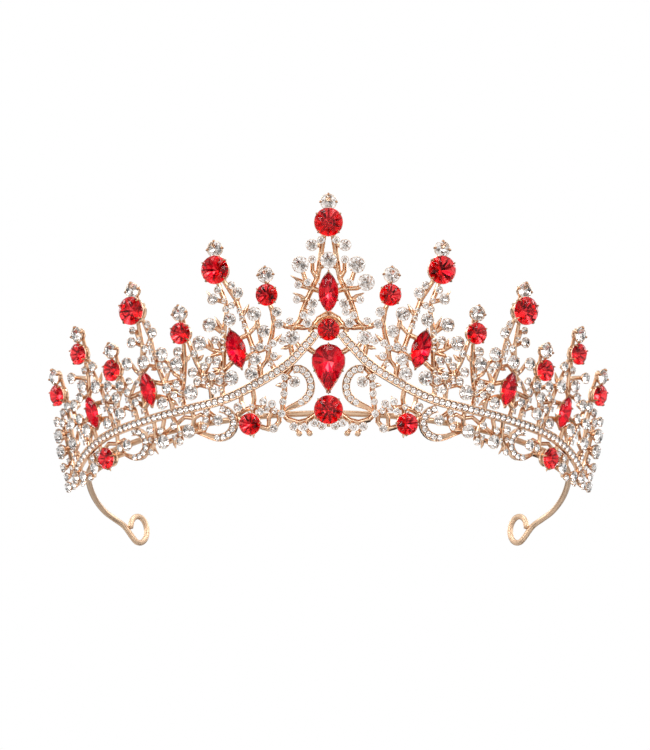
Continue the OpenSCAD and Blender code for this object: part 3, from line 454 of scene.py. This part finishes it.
def gem(outline, low, up, top, drop, tones):
    """A cut stone on any outline of an even number of points: the table, stars, kites and upper girdle
    facets above, the girdle band, and below it foiled facets that run to the culet, with reflections
    painted on them in light and dark.
    drop is how far the waist lies under the table, as a share of the height over the girdle."""
    n = len(outline)
    half = n // 2
    even, odd = outline[0::2], outline[1::2]
    rows = [at_height(even * TABLE, top), at_height(odd * WAIST, top - (top - up) * drop),
            at_height(outline, up), at_height(outline, low),
            at_height(even * KEEL, low * KEEL * KEEL_DROP), np.zeros((1, 3))]
    table, waist, upper, lower, keel, culet = np.cumsum([0] + [len(row) for row in rows])[:6]
    faces, shade = [tuple(table + j for j in range(half))], [-1]
    for j in range(half):
        a, b = table + j, table + (j + 1) % half
        m, before = waist + j, waist + (j - 1) % half
        g, h, after = upper + 2 * j, upper + 2 * j + 1, upper + (2 * j + 2) % n
        faces += [(a, m, b), (a, before, g), (a, g, m), (m, g, h), (m, h, after)]
        shade += [-1] * 5
    for i in range(n):
        faces.append((upper + i, lower + i, lower + (i + 1) % n, upper + (i + 1) % n))
        shade.append(-1)
    for j in range(half):
        g, h, after = lower + 2 * j, lower + 2 * j + 1, lower + (2 * j + 2) % n
        a, b = keel + j, keel + (j + 1) % half
        faces += [(g, a, h), (h, a, b), (h, b, after), (a, culet, b)]
        shade += [*tones[:3], tones[3 + j % 2]]
    for i, t in enumerate(shade):
        if t >= 0:
            shade[i] = float(np.clip(t + rng.uniform(-SHADE_SPREAD, SHADE_SPREAD), 0, 1))
    return np.vstack(rows), faces, [0 if t < 0 else 1 for t in shade], [max(t, 0) for t in shade]


def cut_round(shape, seat):
    """A round stone, turned a little at random. Bigger stones have more facets, and the smallest leave
    room for the metal between them."""
    r = seat.r if seat.r > 0.9 else seat.r * 0.95
    spin = rng.uniform(-0.2, 0.2)
    n = 20 if r > 2.5 else 16 if r > 1 else 12
    a = np.arange(n) * 2 * math.pi / n + spin
    outline = r * np.column_stack([np.cos(a), np.sin(a)])
    tones = ROUND_PAINTED_REFLECTIONS if r > 1 else SMALL_PAINTED_REFLECTIONS
    pts, faces, mats, shades = gem(outline, GIRDLE_LOW * r, GIRDLE_UP * r, seat.top, 0.30, tones)
    shape.add(seat.place(pts), faces, mats, shades)


def even_outline(points, n):
    """n points at equal steps round a closed outline, starting from its lowest point."""
    c = points.mean(axis=0)
    order = np.argsort(np.arctan2(points[:, 1] - c[1], points[:, 0] - c[0]))
    p = points[order]
    p = np.roll(p, -int(np.argmin(p[:, 1])), axis=0)
    q = np.vstack([p, p[:1]])
    run = np.concatenate([[0], np.cumsum(np.linalg.norm(np.diff(q, axis=0), axis=1))])
    at = np.arange(n) / n * run[-1]
    return np.column_stack([np.interp(at, run, q[:, i]) for i in (0, 1)])


def long_outline(seat, n):
    """Outline of a marquise or a pear, which is the CAD stone's own girdle, and the girdle's height."""
    z = seat.local[:, 2]
    flat = seat.local[:, :2]
    reach = np.hypot(flat[:, 0], flat[:, 1])
    levels = np.unique(np.round(z, 2))
    widest = max(levels, key=lambda v: reach[np.abs(z - v) < CLOSE].max())
    ring = flat[np.abs(z - widest) < CLOSE]
    axis = ring[np.argmax(np.hypot(*ring.T))]
    turn = math.atan2(axis[0], -axis[1])
    c, s = math.cos(turn), math.sin(turn)
    spin = np.array([[c, -s], [s, c]])
    low = min(v for v in levels if reach[np.abs(z - v) < CLOSE].max() > 0.98 * np.hypot(*axis))
    return even_outline(ring @ spin, n) @ spin.T, float(low)


def cut_long(shape, seat):
    """A marquise or a pear."""
    outline, low = long_outline(seat, 16)
    pts, faces, mats, shades = gem(outline, low, low + LONG_EDGE, seat.top, 0.34, LONG_PAINTED_REFLECTIONS)
    shape.add(seat.place(pts), faces, mats, shades)


# ------------------------------------------------------------------ settings


def claw(shape, seat, path, t):
    """One bent claw: a rod of radius t that is thinner at its foot and at its tip."""
    pts, faces = tube(path, t * np.array([0.9, 0.95, 1, 1, 0.95, 0.7]), 7)
    shape.add_metal(seat.place(pts), faces)


def claws(shape, seat, angles, t, reach):
    """Claws of radius t at some angles round a round stone, from the foot of its cup over its edge.
    reach is how far from the middle they end, as a share of the stone's radius."""
    r = seat.r
    profile = [(0.52 * r, -0.20), (0.80 * r, 0.30 * r), (r + 0.45 * t, 0.70 * r), (r + 0.35 * t, 0.86 * r),
               (0.965 * r, 0.93 * r + 0.35 * t), (reach * r, 0.99 * r + 0.35 * t)]
    for a in angles:
        c, s = math.cos(math.radians(a)), math.sin(math.radians(a))
        claw(shape, seat, [(p * c, p * s, z) for p, z in profile], t)


def lip(r, wide):
    """The rim of a cup that stands a little outside its stone's girdle."""
    return [(r + wide, 0.68 * r), (r + wide, 0.79 * r), (r + 0.01, 0.81 * r), (r + 0.005, 0.72 * r),
            (0.93 * r, 0.65 * r)]


def bezel(r):
    """The rim of a cup just under its stone's girdle."""
    return [(1.01 * r, 0.62 * r), (1.005 * r, 0.68 * r), (0.95 * r, 0.69 * r), (0.86 * r, 0.58 * r)]


def cup(shape, seat):
    """The plain cup of a clear stone."""
    r, foot = seat.r, 0.22
    profile = [(0, -foot), (0.50 * r, -foot), (0.60 * r, -foot / 2), (0.74 * r, 0.28 * r),
               (0.90 * r, 0.56 * r), *lip(r, wide=0.1), (0.40 * r, 0.24 * r), (0, -0.04)]
    pts, faces = turned(profile, 20)
    shape.add_metal(seat.place(pts), faces)


def claw_setting(shape, seat, angles, t, rim):
    """Ring foot, turned cup with a rim, and bent claws."""
    r = seat.r
    profile = [(0, -0.36), (0.74 * r, -0.36), (0.82 * r, -0.28), (0.82 * r, -0.12), (0.70 * r, -0.02),
               (0.66 * r, 0.10 * r), (0.84 * r, 0.42 * r), (0.96 * r, 0.56 * r), *rim,
               (0.40 * r, 0.24 * r), (0, -0.04)]
    pts, faces = turned(profile, 28)
    shape.add_metal(seat.place(pts), faces)
    claws(shape, seat, angles, t, reach=0.9)


def long_setting(shape, seat, shares):
    """Open setting of a marquise or a pear: a cup on the stone's own outline, and a small claw at each
    share of the way round it, counted from its lowest point."""
    n, t = 48, 0.26
    outline, low = long_outline(seat, n)
    rings = [(0.52, -0.40), (0.60, -0.40), (0.66, -0.28), (0.70, 0.25 * low), (0.86, 0.62 * low),
             (0.965, 0.90 * low), (0.955, 0.97 * low), (0.90, 0.90 * low), (0.62, 0.50 * low),
             (0.30, 0.12 * low), (0.04, -0.10)]
    last = (len(rings) - 1) * n
    faces = bands(len(rings), n) + [tuple(range(n))[::-1], tuple(range(last, last + n))]
    shape.add_metal(seat.place([(x * k, y * k, z) for k, z in rings for x, y in outline]), faces)
    high = seat.top - low - LONG_EDGE
    for share in shares:
        x, y = outline[round(share * n) % n]
        k = t / math.hypot(x, y)
        profile = [(0.60, -0.30), (0.78, 0.40 * low), (1 + 0.45 * k, low), (1 + 0.35 * k, low + LONG_EDGE),
                   (0.965, low + 0.32 + 0.30 * high), (0.90, low + 0.36 + 0.42 * high)]
        claw(shape, seat, [(x * f, y * f, z) for f, z in profile], t)


def strap(shape, a, b):
    """The flat stem up the back of a finial, from the red cup to the tip cup."""
    start, end = a.place([0, -a.r * 0.8, -0.75]), b.place([0, b.r * 0.5, -0.60])
    middle = (a.place([0, 0, -0.85]) + b.place([0, 0, -0.75])) / 2
    t = np.linspace(0, 1, 9)[:, None]
    path = (1 - t) ** 2 * start + 2 * t * (1 - t) * middle + t * t * end
    radii = 0.85 * np.array([0.55, 0.85, 1, 1, 0.95, 0.9, 0.85, 0.8, 0.6])
    shape.add_metal(*tube(path, radii, 8, 0.7))


# ------------------------------------------------------------------ headband wire


def wall(u, h, off):
    """A point of the wall from its arc length, its height up the slope and its stand-off."""
    r = ARC + h * math.sin(LEAN) + off * math.cos(LEAN)
    return [r * math.sin(u / ARC), -r * math.cos(u / ARC), h * math.cos(LEAN) - off * math.sin(LEAN)]


def spline(points, steps):
    """Smooth curve through the points."""
    p = np.array(points, float)
    p = np.vstack([p[:1], p, p[-1:]])
    out = []
    for i in range(1, len(p) - 2):
        a, b, c, d = p[i - 1:i + 3]
        for t in np.arange(steps) / steps:
            out.append(0.5 * (2 * b + (c - a) * t + (2 * a - 5 * b + 4 * c - d) * t * t
                              + (3 * b - a - 3 * c + d) * t ** 3))
    return np.array(out + [p[-2]])


def wire_path():
    """The wire behind the wall, back past the ears and round the eye at each end."""
    up, off, step = 6.7, -1.15, 3.75       # place on the wall, and spacing along it
    leave = 20 * step                      # arc length at which the wire leaves the wall
    leg = [[68, -38, 6.7], [68.2, -28, 6.5], [67.2, -18, 6.4],
           [65.2, -9.8, 6.2], [62.6, -4.2, 6], [60, -1.4, 4.9]]
    middle, wide, high = np.array([56, 1.3, 4.9]), np.array([-2.31, 1.92, 0]), np.array([0, 0, 4.1])
    eye = [middle + wide * math.cos(a) + high * math.sin(a) for a in np.radians(np.linspace(-130, 182, 10))]
    half = spline([wall(leave, up, off), *leg, *eye], 4)
    arc = np.array([wall(k * step, up, off) for k in range(-19, 20)])
    return np.vstack([half[::-1] * [-1, 1, 1], arc, half])


# ------------------------------------------------------------------ metal from the CAD castings


def cast_mesh(cad, voxel, rounds, swell=0.0):
    """A copy of a CAD casting, made even with a fine remesh, and smoothed as a polished casting."""
    bm = bmesh.new()
    co, tri = welded(cad)
    verts = [bm.verts.new(p) for p in co]
    for f in tri:
        if len({int(i) for i in f}) == 3:  # welding may have closed a thin triangle
            try:
                bm.faces.new([verts[i] for i in f])
            except ValueError:             # or made the same triangle twice
                pass
    me = bpy.data.meshes.new("cast")
    bm.to_mesh(me)
    bm.free()
    ob = bpy.data.objects.new("cast", me)
    scene.collection.objects.link(ob)
    remesh = ob.modifiers.new("even", "REMESH")
    remesh.mode, remesh.voxel_size = "VOXEL", voxel
    smooth = ob.modifiers.new("polish", "SMOOTH")
    smooth.factor, smooth.iterations = 0.5, rounds
    if swell:
        grow = ob.modifiers.new("swell", "DISPLACE")
        grow.strength, grow.mid_level = swell, 0.0
    made = bpy.data.meshes.new_from_object(ob.evaluated_get(bpy.context.evaluated_depsgraph_get()))
    bpy.data.objects.remove(ob)
    bpy.data.meshes.remove(me)
    made.transform(Matrix.Scale(MM, 4))
    made.polygons.foreach_set("use_smooth", np.ones(len(made.polygons), bool))
    return made


def show_cast(cad, me, shape):
    """The piece of a casting: its smoothed mesh joined with the claws or beads of a Shape."""
    if shape.faces:
        extra = shape.mesh("extra")
        bm = bmesh.new()
        bm.from_mesh(me)
        bm.from_mesh(extra)
        bm.to_mesh(me)
        bm.free()
        bpy.data.meshes.remove(extra)
    me.materials.append(CAST)
    show(cad + "_cast", me, cad)


def bead(r):
    """A small bead of metal, a little flattened."""
    high = 0.9 * r
    return turned([(0, -high), *[(r * math.cos(a), high * math.sin(a)) for a in (-0.8, -0.2, 0.4, 1.0)],
                   (0, high)], 8)


def bead_pairs(stones, out, r):
    """Two beads of radius r between each pair of neighbouring small stones, that far out to the sides."""
    shape = Shape()
    for i, s in enumerate(stones):
        for other in stones[i + 1:]:
            v = other.foot - s.foot
            if np.linalg.norm(v) > NEIGHBOURS:
                continue
            middle = (s.foot + other.foot) / 2 + s.z * s.r * 0.86
            side = np.cross(s.z, v / np.linalg.norm(v))
            for k in (-1, 1):
                pts, faces = bead(r)
                shape.add_metal(middle + side * out * k + pts @ np.array([s.x, s.y, s.z]), faces)
    return shape


# ------------------------------------------------------------------ pieces

CORNERS, CROSS = (45, 135, 225, 315), (0, 90, 180, 270)      # claws round a stone, in degrees
FINIAL_CLAWS = (35, 145, 225, 315)
RED_CLAW, TIP_CLAW = 0.24, 0.34                              # radii of claws, in mm
MARQUISE_CLAWS = (0, 0.17, 0.33, 0.5, 0.67, 0.83)            # claws as shares of the way round
PEAR_CLAWS = (0.03, 0.97, 0.2, 0.8, 0.36, 0.64, 0.5)

stones = {name: seats(name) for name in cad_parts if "stone" in name}


def is_long(name):
    """Whether a node holds marquises or the pear."""
    return "marquise" in name or "pear" in name


def stone_look(name):
    """The slot of a node's stones, and their glass and foil."""
    if is_long(name):
        return "red_stone", [RUBY, LONG_FOIL]
    if "chaton" in name or "finial" in name:
        return "red_stone", [RUBY, RUBY_FOIL]
    if any(word in name for word in ("rail_", "scroll_", "stem_")):
        return "pave_stone", [CLEAR, PAVE_FOIL]
    return "clear_stone", [CLEAR, PAVE_FOIL if "small" in name else CLEAR_FOIL]


for name, found in stones.items():
    shape = Shape()
    for seat in found:
        (cut_long if is_long(name) else cut_round)(shape, seat)
    slot, looks = stone_look(name)
    shape.piece(name + "_cut", looks, name)

# Cups and claws of the clear stones
for side in ("centre", *SIDES):
    sizes = ("",) if side == "centre" else ("large_", "medium_", "small_")
    shape = Shape()
    for size in sizes:
        for seat in stones[f"{side}_{size}clear_stones"]:
            cup(shape, seat)
            claws(shape, seat, CORNERS, t=0.07 + 0.03 * seat.r, reach=0.88)
    shape.piece(f"{side}_clear_cups_turned", [SETTING], f"{side}_clear_cups")

# Red rounds of the castings, in four claws
for cad in ("arch_chaton_cup", "base_chaton_cup", "left_lower_chaton_cups", "right_lower_chaton_cups"):
    shape = Shape()
    for seat in stones[cad.replace("cup", "stone")]:
        claw_setting(shape, seat, CROSS if "lower" in cad else CORNERS, RED_CLAW, bezel(seat.r))
    shape.piece(cad + "_turned", [SETTING], cad)

# Finials: a red stone below and a pointed tip stone above, on one strap
tips = stones["centre_tip_stone"] + stones["left_tip_stones"] + stones["right_tip_stones"]
for cad in ("centre_finial", "left_tall_finials", "right_tall_finials",
            "left_short_finials", "right_short_finials"):
    shape = Shape()
    for seat in stones[cad.replace("finial", "finial_stone")]:
        tip = min(tips, key=lambda q: np.linalg.norm(q.foot - seat.foot))
        claw_setting(shape, seat, FINIAL_CLAWS, RED_CLAW, bezel(seat.r))
        claw_setting(shape, tip, CROSS, TIP_CLAW, lip(tip.r, wide=0.14))
        strap(shape, seat, tip)
    shape.piece(cad + "_turned", [SETTING], cad)

# Settings of the pear and the marquises
for cad in ("pear_setting", "centre_marquise_setting", "left_marquise_settings", "right_marquise_settings"):
    shape = Shape()
    for seat in stones[cad.replace("setting", "stone")]:
        long_setting(shape, seat, PEAR_CLAWS if "pear" in cad else MARQUISE_CLAWS)
    shape.piece(cad + "_turned", [SETTING], cad)

# Castings, with claws over the small stones along their stems
for cad, stem_stones in (("centre_casting", []),
                         ("left_wing_casting", stones["left_stem_stones"]),
                         ("right_wing_casting", stones["right_stem_stones"])):
    shape = Shape()
    for seat in stem_stones:
        claws(shape, seat, CORNERS, t=0.11, reach=0.86)
    show_cast(cad, cast_mesh(cad, voxel=0.16, rounds=3, swell=0.1), shape)

# Pave rails and scrolls, with beads between their stones
for side in SIDES:
    rail = f"{side}_pave_rail"
    show_cast(rail, cast_mesh(rail, voxel=0.12, rounds=2),
              bead_pairs(stones[f"{rail}_stones"], out=0.78, r=0.27))
    for scroll in (f"{side}_inner_scroll", f"{side}_middle_scroll", f"{side}_end_scroll"):
        low, high = (np.array(v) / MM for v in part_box(scroll))
        own = [q for q in stones[f"{side}_scroll_stones"]
               if (q.foot > low - 1).all() and (q.foot < high + 1).all()]
        show_cast(scroll, cast_mesh(scroll, voxel=0.12, rounds=2), bead_pairs(own, out=0.70, r=0.25))

wire = Shape()
path = wire_path()
wire.add_metal(*tube(path, [WIRE_R] * len(path), 14))
wire.piece("headband_wire_drawn", [WIRE], "headband_wire")

# ------------------------------------------------------------------ floor


def make_floor():
    """A plain pale floor. It is one-sided, so that a camera below it still sees the crown."""
    n, r, z = 64, 4.0, cad_box[0].z - 0.0001
    me = bpy.data.meshes.new("floor")
    turns = [2 * math.pi * k / n for k in range(n)]
    me.from_pydata([(r * math.cos(a), r * math.sin(a), z) for a in turns], [], [tuple(range(n))])
    ob = bpy.data.objects.new("floor", me)
    scene.collection.objects.link(ob)
    m, t, p = material("floor_paper")
    coord = t.nodes.new("ShaderNodeTexCoord").outputs["Object"]
    c = ramp(t, cloud(t, coord, 4.0, 2.0), [(0.3, (0.90, 0.90, 0.90)), (0.7, (0.93, 0.93, 0.93))])
    t.links.new(c.outputs["Color"], p.inputs["Base Color"])
    p.inputs["Roughness"].default_value = 0.9
    clear = t.nodes.new("ShaderNodeBsdfTransparent")
    mix = t.nodes.new("ShaderNodeMixShader")
    t.links.new(t.nodes.new("ShaderNodeNewGeometry").outputs["Backfacing"], mix.inputs["Fac"])
    t.links.new(p.outputs[0], mix.inputs[1])
    t.links.new(clear.outputs[0], mix.inputs[2])
    t.links.new(mix.outputs[0], t.nodes["Material Output"].inputs["Surface"])
    me.materials.append(m)
    ob.visible_glossy = ob.visible_transmission = False


make_floor()
